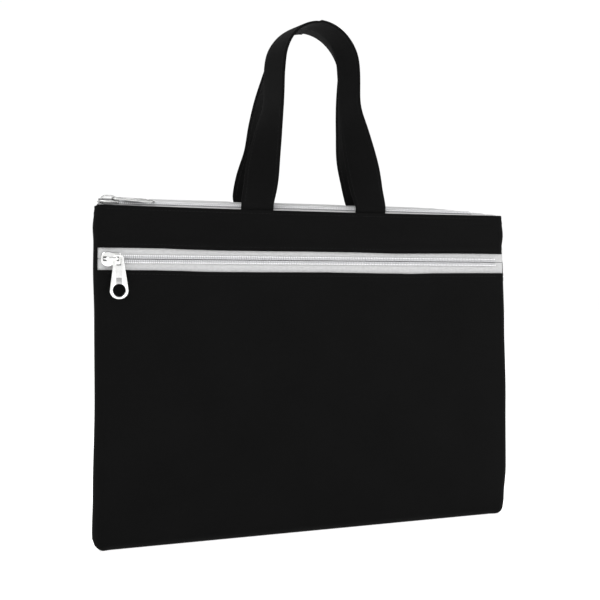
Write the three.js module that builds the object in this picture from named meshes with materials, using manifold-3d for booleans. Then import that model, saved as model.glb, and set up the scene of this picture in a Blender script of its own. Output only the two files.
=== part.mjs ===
// Portfolio case: a flat zipped document bag with two short strap handles, a front
// pocket behind its own zip, and a zipped top. Millimetres, +Z up, +X to the right
// seen from the front, front faces -Y. The origin is the middle of the flat base.
import * as THREE from "three";
import { mergeVertices } from "three/addons/utils/BufferGeometryUtils.js";
import Module from "manifold-3d";

const wasm = await Module();
wasm.setup();

// ---- Driving dimensions, mm ----
const caseWidth = 386;
const frontHeight = 280;
const frontFaceY = -12;
const seamY = -5.5;
const backDepth = 17.5;
const sideRadius = 6.5;
const seamAngle = 45;
const bottomCornerRadius = 10;
const baseEdgeRadius = 6;
const fabric = 1.2;
const gap = 0.3;
const topEdgeSag = 1;

const pocketOpeningLow = 227;
const pocketOpeningHigh = 246;
const pocketZipHeight = 236.5;
const pocketTapeHalfWidth = 13.3;
const dividerY = -4.8;
const dividerThickness = 0.9;
const dividerBendHeight = 252;
const dividerTopHeight = 262;

const zipTilt = THREE.MathUtils.degToRad(17.5);
const topZipY = -1;
const topZipHeight = 282.3;
const topZipEnd = 187.5;
const frontTapeReach = 9.7;
const tapeThickness = 0.7;
const coilGap = 0.8;
const coilHalfWidth = 3.6;
const coilHeight = 1.5;
const coilPitch = 4;

const sliderX = -179.4;
const sliderLength = 17.4;
const sliderHalfWidth = 6.1;
const plateLow = 2.1;
const plateHigh = 3.3;
const crownTop = 7.4;
const crownWidth = 3;
const crownLeft = 7;
const crownRight = 6.2;
const crownBand = 1.1;
const pullLength = 36.6;
const pullThickness = 1.7;
const pullHoleRadius = 5.2;
const pullWindowWidth = 4.5;
const pullWindowLength = 7;
const hangingPullOffset = 5.2;
const lyingPullOffset = 3.3;
const pullDroop = THREE.MathUtils.degToRad(2.4);

const handleLegX = 53.6;
const handleStrapWidth = 29.4;
const handleThickness = 2;
const handleRise = 157;
const archHalfWidth = 34.7;
const archCentreHeight = 118;
const handleBaseY = 11.5;
const anchorHeight = 12;

// The two loops: legs are half distances and heights, turns are heights and
// shares of a quarter turn, and the apex stands apexY out and lean sideways.
const frontLoop = {
  side: -1,
  legs: [[handleLegX, 0], [53.3, 6], [50.2, 20], [46.4, 42], [41.2, 66], [36, 90]],
  turns: [[0, 0], [12, 0], [44, 0.45], [88, 0.85], [128, 0.82], [handleRise, 0.98]],
  apexY: 27.6,
  bow: -4.5,
  lean: -9,
};
const backLoop = {
  side: 1,
  legs: [[handleLegX, 0], [53.3, 6], [50.2, 20], [44.3, 42], [41.9, 66], [39, 90]],
  turns: [[0, 0], [12, 0], [44, 0.27], [88, 0.49], [128, 0.77], [handleRise, 0.98]],
  apexY: 14.7,
  bow: 9.3,
  lean: 3.2,
};

// ---- Materials ----
const blackFabric = new THREE.MeshStandardMaterial({ color: 0x171717, roughness: 0.9 });
const liningFabric = new THREE.MeshStandardMaterial({ color: 0x202022, roughness: 0.85 });
const greyTape = new THREE.MeshStandardMaterial({ color: 0xcfd0d1, roughness: 0.6 });
const whiteCoil = new THREE.MeshStandardMaterial({ color: 0xe3e4e5, roughness: 0.4 });
const polishedMetal = new THREE.MeshStandardMaterial({
  color: 0xe4e4e2,
  roughness: 0.18,
  metalness: 1,
});

// ---- Small helpers ----
const halfWidth = caseWidth / 2;
const roundCentreX = halfWidth - sideRadius;

function smooth(low, high, value) {
  const t = Math.min(1, Math.max(0, (value - low) / (high - low)));
  return t * t * (3 - 2 * t);
}

function mix(a, b, t) {
  return a + (b - a) * t;
}

function named(name, geometry, material) {
  const mesh = new THREE.Mesh(geometry, material);
  mesh.name = name;
  return mesh;
}

// A closed thin sheet: a segmented box whose grid of corners is moved to
// pointAt(column, row, inside), where inside is false on the outward side.
function sheet(columns, rows, outerIsBack, pointAt) {
  const box = new THREE.BoxGeometry(2, 1, 1, columns.length - 1, 1, rows.length - 1);
  const corner = box.attributes.position;
  for (let i = 0; i < corner.count; i += 1) {
    const column = Math.round(((corner.getX(i) + 1) / 2) * (columns.length - 1));
    const row = Math.round((corner.getZ(i) + 0.5) * (rows.length - 1));
    const onBack = corner.getY(i) > 0;
    const [x, y, z] = pointAt(columns[column], rows[row], onBack !== outerIsBack);
    corner.setXYZ(i, x, y, z);
  }
  box.computeVertexNormals();
  return box;
}

function plate(shape, low, high) {
  const geometry = new THREE.ExtrudeGeometry(shape, {
    depth: high - low,
    bevelEnabled: false,
    curveSegments: 10,
  });
  geometry.translate(0, 0, low);
  return geometry;
}

function solidOf(geometry) {
  const bare = geometry.clone();
  bare.deleteAttribute("normal");
  bare.deleteAttribute("uv");
  const merged = mergeVertices(bare, 1e-4);
  return new wasm.Manifold(
    new wasm.Mesh({
      numProp: 3,
      vertProperties: new Float32Array(merged.attributes.position.array),
      triVerts: new Uint32Array(merged.index.array),
    }),
  );
}

function joined(geometries) {
  const whole = geometries.map(solidOf).reduce((a, b) => a.add(b));
  return geometryOf(whole);
}

function cut(geometry, tools) {
  const whole = tools.map(solidOf).reduce((a, b) => a.subtract(b), solidOf(geometry));
  return geometryOf(whole);
}

function geometryOf(solid) {
  const mesh = solid.getMesh();
  const geometry = new THREE.BufferGeometry();
  const position = new THREE.BufferAttribute(new Float32Array(mesh.vertProperties), 3);
  geometry.setAttribute("position", position);
  geometry.setIndex(new THREE.BufferAttribute(new Uint32Array(mesh.triVerts), 1));
  const flat = geometry.toNonIndexed();
  flat.computeVertexNormals();
  return flat;
}

// ---- Body shape ----
// Plan stations run from one side of a panel to the other. A station is either
// a point on the rounded side edge (angle from the front) or a width position.
function sideStation(side, degrees) {
  return { side, angle: THREE.MathUtils.degToRad(degrees) };
}

function frontPlan(station, inset) {
  if (station.side === undefined) {
    return [station.x, frontFaceY + inset];
  }
  const radius = sideRadius - inset;
  const x = station.side * (roundCentreX + radius * Math.sin(station.angle));
  return [x, seamY - radius * Math.cos(station.angle)];
}

const flatPositions = [-170, -140, -105, -70, -35, 0, 35, 70, 105, 140, 170];
const frontStations = [
  ...[seamAngle, 30, 15, 0].map((angle) => sideStation(-1, angle)),
  ...[-182, ...flatPositions, 182].map((x) => ({ x })),
  ...[0, 15, 30, seamAngle].map((angle) => sideStation(1, angle)),
];

// Height of the base at a width position: the two bottom corners are rounded.
function baseHeight(x, inset) {
  const past = Math.abs(x) - (halfWidth - bottomCornerRadius);
  if (past <= 0) {
    return inset;
  }
  const radius = bottomCornerRadius - inset;
  return bottomCornerRadius - Math.sqrt(Math.max(0, radius * radius - past * past));
}

function topEdge(x) {
  return frontHeight - topEdgeSag * (1 - (x / halfWidth) ** 2);
}

// Bulge of the back panel: fuller at the top left, where the slider parks.
function backBulge(x, z) {
  const u = Math.min(1, Math.abs(x) / halfWidth);
  const low = 5;
  const high = x < 0 ? 30 : 5;
  const power = mix(low, high, smooth(215, 272, z));
  const share = 1 - u ** power;
  return share * mix(0.69, 1, smooth(0, 70, z));
}

function backOuterY(x, z, inset) {
  return seamY + (backDepth - inset) * backBulge(x, z);
}

function backInnerY(x, z) {
  const outerX = (x * halfWidth) / (halfWidth - fabric);
  return backOuterY(outerX, z, fabric);
}

function frontPanelPoint(station, row, inside) {
  const inset = inside ? fabric : 0;
  const [x, frontY] = frontPlan(station, inset);
  const base = baseHeight(x, inset);
  const closeness = smooth(179, 191, Math.abs(x));
  const radius = mix(baseEdgeRadius, 1.8, closeness) - inset;
  const atSeam = smooth(187, 190, Math.abs(x));
  const fullBase = backInnerY(x, 0) - 1.5 * gap;
  const baseEnd = mix(fullBase, frontY + radius + 0.4, atSeam);
  if (row.part === "face") {
    return [x, frontY, mix(base + radius, pocketOpeningLow, row.t)];
  }
  if (row.part === "edge") {
    const angle = (row.t * Math.PI) / 2;
    const y = frontY + radius * (1 - Math.cos(angle));
    return [x, y, base + radius * (1 - Math.sin(angle))];
  }
  return [x, mix(frontY + radius, baseEnd, row.t), base];
}

function frontPocketPanel() {
  const rows = [
    { part: "base", t: 1 },
    { part: "base", t: 0.5 },
    { part: "base", t: 0 },
    { part: "edge", t: 0.67 },
    { part: "edge", t: 0.33 },
    ...[0, 0.12, 0.3, 0.5, 0.7, 0.88, 1].map((t) => ({ part: "face", t })),
  ];
  return sheet(frontStations, rows, false, frontPanelPoint);
}

function frontTopBand() {
  const rows = [0, 0.35, 0.7, 1];
  return sheet(frontStations, rows, false, (station, row, inside) => {
    const [x, y] = frontPlan(station, inside ? fabric : 0);
    return [x, y, mix(pocketOpeningHigh, topEdge(x), row)];
  });
}

function zipPlaneHeight(y) {
  return topZipHeight + (y - topZipY) * Math.tan(zipTilt);
}

function backPanel() {
  const lens = [-1, -0.985, -0.96, -0.93, -0.88, -0.8, -0.65, -0.45, -0.22, 0];
  const lensRight = lens.slice(0, -1).reverse().map((u) => -u);
  const columns = [
    ...[seamAngle + 6, 62, 76].map((angle) => sideStation(-1, angle)),
    ...[...lens, ...lensRight].map((u) => ({ u })),
    ...[76, 62, seamAngle + 6].map((angle) => sideStation(1, angle)),
  ];
  const rows = [0, 0.04, 0.1, 0.18, 0.28, 0.45, 0.62, 0.76, 0.84, 0.9, 0.96, 1];
  return sheet(columns, rows, true, (column, row, inside) => {
    const inset = inside ? fabric : 0;
    if (column.side !== undefined) {
      const [x, y] = frontPlan(column, inset);
      const low = baseHeight(x, 0) + 3 * gap;
      return [x, y, mix(low, zipPlaneHeight(seamY) - 1, row)];
    }
    const x = column.u * (halfWidth - inset);
    const top = zipPlaneHeight(backOuterY(x, frontHeight, fabric));
    const endDrop = mix(0, 1, smooth(0.93, 1, Math.abs(column.u)));
    const low = baseHeight(x, inset) - inset + gap;
    const z = mix(low, top - endDrop, row);
    return [x, backOuterY(x, z, inset), z];
  });
}

// The pocket's back wall hangs behind the front panel and turns forward above
// the pocket zip, where it is sewn to the top band.
function dividerPanel() {
  const reach = halfWidth - 5.1;
  const columns = [-1, -0.985, -0.96, -0.9, -0.6, -0.3, 0, 0.3, 0.6, 0.9, 0.96, 0.985, 1];
  const rows = [0, 0.1, 0.4, 0.75, 0.92, 1, 2];
  return sheet(columns, rows, false, (column, row, inside) => {
    const x = column * reach;
    const back = inside ? dividerThickness : 0;
    if (row === 2) {
      return [x, frontFaceY + fabric + gap + sideInset(x) + back, dividerTopHeight];
    }
    const low = baseHeight(x, fabric) + gap;
    const forward = 3.2 * smooth(0.94, 1, Math.abs(column));
    return [x, dividerY - forward + back, mix(low, dividerBendHeight, row)];
  });
}

function sideInset(x) {
  const past = Math.max(0, Math.abs(x) - roundCentreX);
  const radius = sideRadius - fabric - gap;
  return radius - Math.sqrt(Math.max(0, radius * radius - past * past));
}

// A folded tape over the cut edges of the side seam, inside the case.
function sideSeamBinding() {
  const shape = new THREE.Shape();
  shape.moveTo(-0.45, -1.5);
  shape.lineTo(0.45, -1.5);
  shape.lineTo(0.45, 1.5);
  shape.lineTo(-0.45, 1.5);
  shape.closePath();
  return plate(shape, 14, 262);
}

// The same tape over the bottom seam, lying along the inside of the base.
function bottomSeamBinding() {
  return new THREE.BoxGeometry(300, 5, 0.9);
}

// ---- Zips ----
// Zip parts are built flat: x along the zip, y across it, z out of its face.
// The tapes' outer faces lie at z = 0.
function straightTape(halfLength, near, far) {
  const shape = new THREE.Shape();
  shape.moveTo(-halfLength, near);
  shape.lineTo(halfLength, near);
  shape.lineTo(halfLength, mix(near, far, 0.5));
  shape.lineTo(halfLength - 10, far);
  shape.lineTo(-halfLength, far);
  shape.closePath();
  return plate(shape, -tapeThickness, 0);
}

function topBackTape() {
  const columns = [-1, -0.99, -0.975, -0.95, -0.9, -0.8, -0.6, -0.3, 0, 0.3, 0.5];
  columns.push(0.65, 0.8, 0.87, 0.91);
  const rows = [0, 1];
  return sheet(columns, rows, true, (column, row, inside) => {
    const x = column * topZipEnd;
    const wall = backInnerY(x, frontHeight) - 0.5;
    const far = (wall - topZipY) / Math.cos(zipTilt);
    const across = mix(far, coilGap, row);
    return [x, across, inside ? -tapeThickness : 0];
  });
}

// The pocket zip's tapes follow the front face round to the side seams.
function pocketTape(nearHeight, farHeight) {
  const rows = [0, 1];
  return sheet(frontStations, rows, false, (station, row, inside) => {
    const inset = fabric + gap + (inside ? tapeThickness : 0);
    const [x, y] = frontPlan(station, inset);
    return [x, y, mix(nearHeight, farHeight, row)];
  });
}

// One row of coil teeth: a spine with short teeth towards the other row.
function coilRow(start, end, direction, phase) {
  const shape = new THREE.Shape();
  const inner = coilGap + 0.1;
  const spine = inner + 1;
  const count = Math.floor((end - start - coilPitch) / coilPitch);
  const half = coilPitch / 4;
  shape.moveTo(start, direction * coilHalfWidth);
  shape.lineTo(start, direction * spine);
  for (let i = 0; i < count; i += 1) {
    const x = start + phase + coilPitch * (i + 0.5);
    shape.lineTo(x - half, direction * spine);
    shape.lineTo(x - half, direction * inner);
    shape.lineTo(x + half, direction * inner);
    shape.lineTo(x + half, direction * spine);
  }
  shape.lineTo(end, direction * spine);
  shape.lineTo(end, direction * coilHalfWidth);
  shape.closePath();
  return plate(shape, gap, gap + coilHeight);
}

function roundedPlate(length, nose, tail) {
  const shape = new THREE.Shape();
  const half = length / 2;
  shape.moveTo(half, 0);
  shape.bezierCurveTo(half, tail * 0.8, half - 2, tail, half - 4, tail);
  shape.bezierCurveTo(0, tail, -half * 0.15, nose, -half * 0.3, nose);
  shape.bezierCurveTo(-half * 0.75, nose, -half, nose * 0.6, -half, 0);
  shape.bezierCurveTo(-half, -nose * 0.6, -half * 0.75, -nose, -half * 0.3, -nose);
  shape.bezierCurveTo(-half * 0.15, -nose, 0, -tail, half - 4, -tail);
  shape.bezierCurveTo(half - 2, -tail, half, -tail * 0.8, half, 0);
  return shape;
}

function sideWall(side) {
  const shape = new THREE.Shape();
  shape.moveTo(-3.5, side * 5.6);
  shape.lineTo(-3.5, side * 4.3);
  shape.lineTo(7, side * 4.1);
  shape.lineTo(7, side * 4.9);
  shape.lineTo(2, side * 5.2);
  shape.closePath();
  return plate(shape, gap, plateLow + 0.3);
}

function dividingPost() {
  const shape = new THREE.Shape();
  shape.moveTo(-7.4, 0);
  shape.lineTo(-6.4, 0.5);
  shape.lineTo(-3.4, 0.5);
  shape.lineTo(-2.4, 0);
  shape.lineTo(-3.4, -0.5);
  shape.lineTo(-6.4, -0.5);
  shape.closePath();
  return plate(shape, -1.6, plateLow + 0.3);
}

function sliderBody() {
  const upper = plate(roundedPlate(sliderLength, sliderHalfWidth, 5), plateLow, plateHigh);
  const lower = plate(roundedPlate(sliderLength - 0.8, 4.9, 4.4), -2.1, -1.05);
  return joined([upper, lower, dividingPost(), sideWall(1), sideWall(-1)]);
}

// The crown is a narrow arched strap over the body that carries the pull.
function sliderCrown() {
  const low = plateHigh + gap;
  const left = crownLeft;
  const right = crownRight;
  const leftInner = crownLeft - crownBand;
  const rightInner = crownRight - crownBand;
  const top = crownTop;
  const under = crownTop - crownBand;
  const shape = new THREE.Shape();
  shape.moveTo(-left, low);
  shape.bezierCurveTo(-left, top - 1, -left + 3, top, -1, top);
  shape.lineTo(1, top);
  shape.bezierCurveTo(right - 2, top, right, top - 1, right, low);
  shape.lineTo(rightInner, low);
  shape.bezierCurveTo(rightInner, under - 0.6, rightInner - 1.4, under, 1, under);
  shape.lineTo(-1, under);
  shape.bezierCurveTo(-leftInner + 2.4, under, -leftInner, under - 0.8, -leftInner, low);
  shape.closePath();
  const geometry = plate(shape, -crownWidth / 2, crownWidth / 2);
  geometry.rotateX(Math.PI / 2);
  return geometry;
}

// Flat teardrop pull, pivot at the origin, running along +x.
function pull(windowStart) {
  const end = windowStart + pullLength - 2.2;
  const start = windowStart - 1.9;
  const tip = end - 7.1;
  const shape = new THREE.Shape();
  shape.moveTo(start, 0);
  shape.bezierCurveTo(start, 3, start + 1.2, 4.1, start + 4, 4.3);
  shape.bezierCurveTo(start + 12, 5, tip - 9, 6.6, tip, 7.6);
  shape.bezierCurveTo(tip + 3.8, 7.7, end, 4.6, end, 0);
  shape.bezierCurveTo(end, -4.6, tip + 3.8, -7.7, tip, -7.6);
  shape.bezierCurveTo(tip - 9, -6.6, start + 12, -5, start + 4, -4.3);
  shape.bezierCurveTo(start + 1.2, -4.1, start, -3, start, 0);
  const slot = new THREE.BoxGeometry(pullWindowLength, pullWindowWidth, 6);
  slot.translate(windowStart + pullWindowLength / 2, 0, 0);
  const hole = new THREE.CylinderGeometry(pullHoleRadius, pullHoleRadius, 6, 28);
  hole.rotateX(Math.PI / 2);
  hole.translate(tip - 0.1, 0, 0);
  return cut(plate(shape, 0, pullThickness), [slot, hole]);
}

// ---- Handles ----
// The strap faces the front where it is sewn in and turns a quarter on the way
// up, so that it lies flat in the hand at the top of the loop.
function handlePath(loop, base) {
  const points = loop.legs.map(([x, height]) => [x, base + height]);
  for (const degrees of [0, 22.5, 45, 67.5]) {
    const angle = THREE.MathUtils.degToRad(degrees);
    const rise = archCentreHeight + (handleRise - archCentreHeight) * Math.sin(angle);
    points.push([archHalfWidth * Math.cos(angle), base + rise]);
  }
  const left = points.map(([x, z]) => new THREE.Vector3(-x, 0, z));
  const right = points.map(([x, z]) => new THREE.Vector3(x, 0, z)).reverse();
  const top = new THREE.Vector3(0, 0, base + handleRise);
  return new THREE.CatmullRomCurve3([...left, top, ...right], false, "centripetal");
}

function handleTwist(loop, height) {
  const quarter = Math.PI / 2;
  const { turns } = loop;
  for (let i = 1; i < turns.length; i += 1) {
    if (height <= turns[i][0]) {
      const t = (height - turns[i - 1][0]) / (turns[i][0] - turns[i - 1][0]);
      return quarter * mix(turns[i - 1][1], turns[i][1], t);
    }
  }
  return quarter * turns[turns.length - 1][1];
}

function handleStrap(loop, base) {
  const path = handlePath(loop, base);
  const segments = 56;
  const columns = Array.from({ length: segments + 1 }, (_, i) => i / segments);
  const rows = [0, 0.5, 1];
  const inward = new THREE.Vector3();
  const across = new THREE.Vector3();
  const outward = new THREE.Vector3();
  return sheet(columns, rows, false, (column, row, inside) => {
    const point = path.getPointAt(column);
    const along = path.getTangentAt(column);
    const height = point.z - base;
    const twist = handleTwist(loop, height);
    const leftHalf = column < 0.5 ? 1 : -1;
    inward.set(along.z, 0, -along.x).multiplyScalar(leftHalf);
    across.copy(inward).multiplyScalar(Math.cos(twist));
    across.y += loop.side * Math.sin(twist);
    outward.copy(across).cross(along).normalize();
    const shift = smooth(0, handleRise, height);
    const bow = loop.bow * Math.sin((Math.PI * height) / handleRise);
    const centreY = loop.side * (mix(handleBaseY, loop.apexY, shift) + bow);
    const spread = (0.5 - row) * handleStrapWidth;
    const depth = (inside ? -0.5 : 0.5) * handleThickness;
    return [
      point.x + loop.lean * shift + across.x * spread + outward.x * depth,
      centreY + across.y * spread + outward.y * depth,
      point.z + across.z * spread + outward.z * depth,
    ];
  });
}

function handleAnchor() {
  const half = handleStrapWidth / 2;
  const shape = new THREE.Shape();
  shape.moveTo(-half, 0);
  shape.lineTo(half, 0);
  shape.lineTo(half, anchorHeight);
  shape.lineTo(-half, anchorHeight);
  shape.closePath();
  const geometry = plate(shape, -0.6, 0.6);
  geometry.rotateX(Math.PI / 2);
  return geometry;
}

// ---- Assembly ----
const portfolioCase = new THREE.Group();
portfolioCase.add(named("back_panel", backPanel(), blackFabric));
portfolioCase.add(named("front_top_band", frontTopBand(), blackFabric));
portfolioCase.add(named("front_pocket_panel", frontPocketPanel(), blackFabric));
portfolioCase.add(named("divider_panel", dividerPanel(), liningFabric));

const bindingX = halfWidth - 4.2;
for (const [name, x] of [["left", -bindingX], ["right", bindingX]]) {
  const binding = named(`${name}_seam_binding`, sideSeamBinding(), liningFabric);
  binding.position.set(x, seamY - 1.35, 0);
  portfolioCase.add(binding);
}
const bottomBinding = named("bottom_seam_binding", bottomSeamBinding(), liningFabric);
bottomBinding.position.set(0, -0.9, fabric + gap + 0.45);
portfolioCase.add(bottomBinding);

const reach = pocketTapeHalfWidth;
const upperTape = pocketTape(pocketZipHeight + coilGap, pocketZipHeight + reach);
const lowerTape = pocketTape(pocketZipHeight - reach, pocketZipHeight - coilGap);
portfolioCase.add(named("pocket_zip_upper_tape", upperTape, greyTape));
portfolioCase.add(named("pocket_zip_lower_tape", lowerTape, greyTape));

function addSlider(group, name, coilStart, coilEnd) {
  const upperCoil = coilRow(coilStart, coilEnd, 1, 0);
  const lowerCoil = coilRow(coilStart, coilEnd, -1, coilPitch / 2);
  group.add(named(`${name}_${name === "top_zip" ? "back" : "upper"}_coil`, upperCoil, whiteCoil));
  group.add(named(`${name}_${name === "top_zip" ? "front" : "lower"}_coil`, lowerCoil, whiteCoil));
  const body = named(`${name}_slider_body`, sliderBody(), polishedMetal);
  const crown = named(`${name}_slider_crown`, sliderCrown(), polishedMetal);
  body.position.x = sliderX;
  crown.position.x = sliderX;
  group.add(body, crown);
}

const pocketZip = new THREE.Group();
pocketZip.position.set(0, frontFaceY + fabric + gap, pocketZipHeight);
pocketZip.rotation.x = Math.PI / 2;
addSlider(pocketZip, "pocket_zip", -185.5, 185.5);
const hangingPull = named("pocket_zip_pull", pull(1.8), polishedMetal);
hangingPull.rotation.z = -Math.PI / 2;
hangingPull.position.set(sliderX + hangingPullOffset, 3.6, plateHigh + gap);
pocketZip.add(hangingPull);
portfolioCase.add(pocketZip);

const topZip = new THREE.Group();
topZip.position.set(0, topZipY, topZipHeight);
topZip.rotation.x = zipTilt;
topZip.add(named("top_zip_front_tape", straightTape(topZipEnd, -frontTapeReach, -coilGap), greyTape));
topZip.add(named("top_zip_back_tape", topBackTape(), greyTape));
addSlider(topZip, "top_zip", -185.5, 165);
const lyingPull = named("top_zip_pull", pull(0.9), polishedMetal);
lyingPull.rotation.y = pullDroop;
lyingPull.position.set(sliderX + lyingPullOffset, 0, plateHigh + 0.5);
topZip.add(lyingPull);
portfolioCase.add(topZip);

const legs = [["left", -handleLegX], ["right", handleLegX]];
const frontBase = frontHeight + 0.6;
const backBase = frontHeight + 7.3;
portfolioCase.add(named("front_handle", handleStrap(frontLoop, frontBase), blackFabric));
portfolioCase.add(named("back_handle", handleStrap(backLoop, backBase), blackFabric));
for (const [name, x] of legs) {
  const frontEnd = named(`front_handle_${name}_end`, handleAnchor(), blackFabric);
  frontEnd.position.set(x, frontFaceY + fabric + gap + 0.6, 264);
  const backEnd = named(`back_handle_${name}_end`, handleAnchor(), blackFabric);
  backEnd.position.set(x, 9.2, 270);
  portfolioCase.add(frontEnd, backEnd);
}

export default portfolioCase;
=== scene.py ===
"""Portfolio case: the looks. Lengths are in millimetres until a mesh is made."""
import math

import bmesh
import bpy
from mathutils import Matrix, Vector, noise


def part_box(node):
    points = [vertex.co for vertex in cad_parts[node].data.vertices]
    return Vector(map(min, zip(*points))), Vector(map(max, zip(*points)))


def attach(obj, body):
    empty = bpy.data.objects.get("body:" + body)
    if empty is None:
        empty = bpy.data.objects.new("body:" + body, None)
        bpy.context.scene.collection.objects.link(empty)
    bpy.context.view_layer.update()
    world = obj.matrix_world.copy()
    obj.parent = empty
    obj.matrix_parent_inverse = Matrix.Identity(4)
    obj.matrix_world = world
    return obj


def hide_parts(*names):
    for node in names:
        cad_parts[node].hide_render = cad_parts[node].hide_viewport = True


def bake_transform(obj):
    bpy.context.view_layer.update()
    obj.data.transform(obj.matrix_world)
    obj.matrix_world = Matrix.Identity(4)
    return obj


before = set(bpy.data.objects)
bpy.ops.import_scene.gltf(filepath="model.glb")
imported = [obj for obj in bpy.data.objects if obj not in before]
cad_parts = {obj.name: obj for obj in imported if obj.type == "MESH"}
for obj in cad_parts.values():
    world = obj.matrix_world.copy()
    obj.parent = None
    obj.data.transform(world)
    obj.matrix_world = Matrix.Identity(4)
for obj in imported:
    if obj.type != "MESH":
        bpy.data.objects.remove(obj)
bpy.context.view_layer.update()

MM = 0.001


def top_of(node):
    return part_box(node)[1].z / MM


# ---- Sizes, mm ----
half_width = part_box("back_panel")[1].x / MM
front_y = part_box("front_pocket_panel")[0].y / MM
front_height = top_of("front_top_band")
pocket_low = top_of("front_pocket_panel")
pocket_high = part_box("front_top_band")[0].z / MM
seam_y = -5.5
back_depth = 17.5
side_radius = 6.5
corner_radius = 10.0
base_radius = 6.0
back_edge_angle = 84
fabric = 1.2
top_sag = 1.0
round_x = half_width - side_radius

zip_height = (pocket_low + pocket_high) / 2
tape_reach = 13.3
tape_thick = 0.7
groove = 0.45
coil_half = 3.6
tooth_pitch = 1.6
top_tilt = math.radians(17.5)
top_zip_y = -1.0
top_zip_z = 282.3
pocket_coil = (-185.5, 185.5)
top_coil = (-185.5, 165.0)
top_tape_half = 187.4
top_tape_front = -9.3
back_tape_end = 178.0

slider_x = -179.4
slider_length = 17.4
plate_low = 2.1
plate_high = 3.3
crown_top = 6.8
crown_band = 0.9
crown_width = 3.0
crown_left = 7.0
crown_right = 6.2
hanging_pull_x = 5.2
lying_pull_x = 3.3
pull_length = 36.6
pull_thick = 1.7
pull_hole = 5.2
window_long = 7.0
window_wide = 4.5
pull_droop = math.radians(2.9)
pull_roll = math.radians(-6)

strap_width = 29.4
strap_thick = 2.0
strap_seam = 3.0
strap_rise = 157.0
strap_sunk = 3.6
arch_half = 34.7
arch_centre = 118.0
leg_x = 53.6
strap_base_y = 11.5

hem_stitch = 2.6
stitch_gap = 3.4
stitch_long = 2.5
stitch_wide = 0.5


# ---- Number helpers ----
def smooth(low, high, value):
    t = min(1.0, max(0.0, (value - low) / (high - low)))
    return t * t * (3 - 2 * t)


def mix(a, b, t):
    return a + (b - a) * t


def spread(low, high, step, fine=0.7, band=9.0):
    """Positions from low to high, close together within band of each end."""
    count = max(2, int(band / fine))
    near = [low + band * i / count for i in range(count)]
    middle = max(2, int((high - low - 2 * band) / step))
    inner = [low + band + (high - low - 2 * band) * i / middle for i in range(middle)]
    far = [high - band + band * i / count for i in range(count + 1)]
    return near + inner + far


def ripple(x, z, size, seed):
    """Smooth noise between about -1 and 1 with bumps about size mm across."""
    return noise.noise(Vector((x / size, z / size, seed)))


# ---- Body shape ----
def front_plan(place, inset=0.0):
    """(x, y) at a place along the front's width path, which past round_x goes round the edge."""
    side = 1 if place > 0 else -1
    past = abs(place) - round_x
    if past <= 0:
        return place, front_y + inset
    angle = past / side_radius
    radius = side_radius - inset
    x = side * (round_x + radius * math.sin(angle))
    return x, seam_y - radius * math.cos(angle)


def path_end(degrees):
    """The place on the width path that is some degrees round a side edge."""
    return round_x + side_radius * math.radians(degrees)


def base_height(x, inset=0.0):
    past = abs(x) - (half_width - corner_radius)
    if past <= 0:
        return inset
    radius = corner_radius - inset
    return corner_radius - math.sqrt(max(0.0, radius * radius - past * past))


def top_edge(x):
    return front_height - 0.1 - top_sag * (1 - (x / half_width) ** 2)


def back_bulge(x, z):
    """Share of the full depth: fuller near the left top corner, flatter towards the base."""
    u = min(1.0, abs(x) / half_width)
    high = 30 if x < 0 else 5
    power = mix(5, high, smooth(215, 272, z))
    return (1 - u**power) * mix(0.69, 1, smooth(0, 70, z))


def back_y(x, z, inset=0.0):
    return seam_y + (back_depth - inset) * back_bulge(x, z)


def back_inner_y(x, z):
    outer_x = x * half_width / (half_width - fabric)
    return back_y(outer_x, z, fabric)


def zip_plane(y):
    return top_zip_z + (y - top_zip_y) * math.tan(top_tilt)


# ---- Mesh helpers ----
def new_object(name, data):
    thing = bpy.data.objects.new(name, data)
    bpy.context.scene.collection.objects.link(thing)
    return thing


def evaluated_mesh(thing):
    bpy.context.view_layer.update()
    graph = bpy.context.evaluated_depsgraph_get()
    return bpy.data.meshes.new_from_object(thing.evaluated_get(graph))


def finish_mesh(name, shape, material, body, place=None, sharp=None):
    """Makes the object from (verts, faces, uvs) in mm. A blended piece has no body."""
    verts, faces, *uvs = shape
    mesh = bpy.data.meshes.new(name)
    moved = [place @ Vector(v) for v in verts] if place else [Vector(v) for v in verts]
    mesh.from_pydata([v * MM for v in moved], [], faces)
    if uvs:
        layer = mesh.uv_layers.new(name="weave")
        for loop in mesh.loops:
            layer.data[loop.index].uv = uvs[0][loop.vertex_index]
    for polygon in mesh.polygons:
        polygon.use_smooth = True
    if sharp:
        mesh.set_sharp_from_angle(angle=math.radians(sharp))
    mesh.materials.append(material)
    piece = new_object(name, mesh)
    if body:
        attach(piece, body)
    return piece


class Parts:
    """Several closed shapes collected into one mesh."""

    def __init__(self):
        self.verts = []
        self.faces = []
        self.uvs = []

    def add(self, verts, faces, uvs=None):
        start = len(self.verts)
        self.verts += [Vector(v) for v in verts]
        self.faces += [[i + start for i in face] for face in faces]
        self.uvs += uvs or [(v[0], v[1]) for v in verts]

    def shape(self):
        return self.verts, self.faces, self.uvs


def cross_normals(rows):
    """Unit normals of a grid of points, from its neighbours."""
    normals = []
    last_row = len(rows) - 1
    for i, row in enumerate(rows):
        last = len(row) - 1
        line = []
        for j in range(len(row)):
            up = rows[min(i + 1, last_row)][j] - rows[max(i - 1, 0)][j]
            along = row[min(j + 1, last)] - row[max(j - 1, 0)]
            line.append(along.cross(up).normalized())
        normals.append(line)
    return normals


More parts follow.
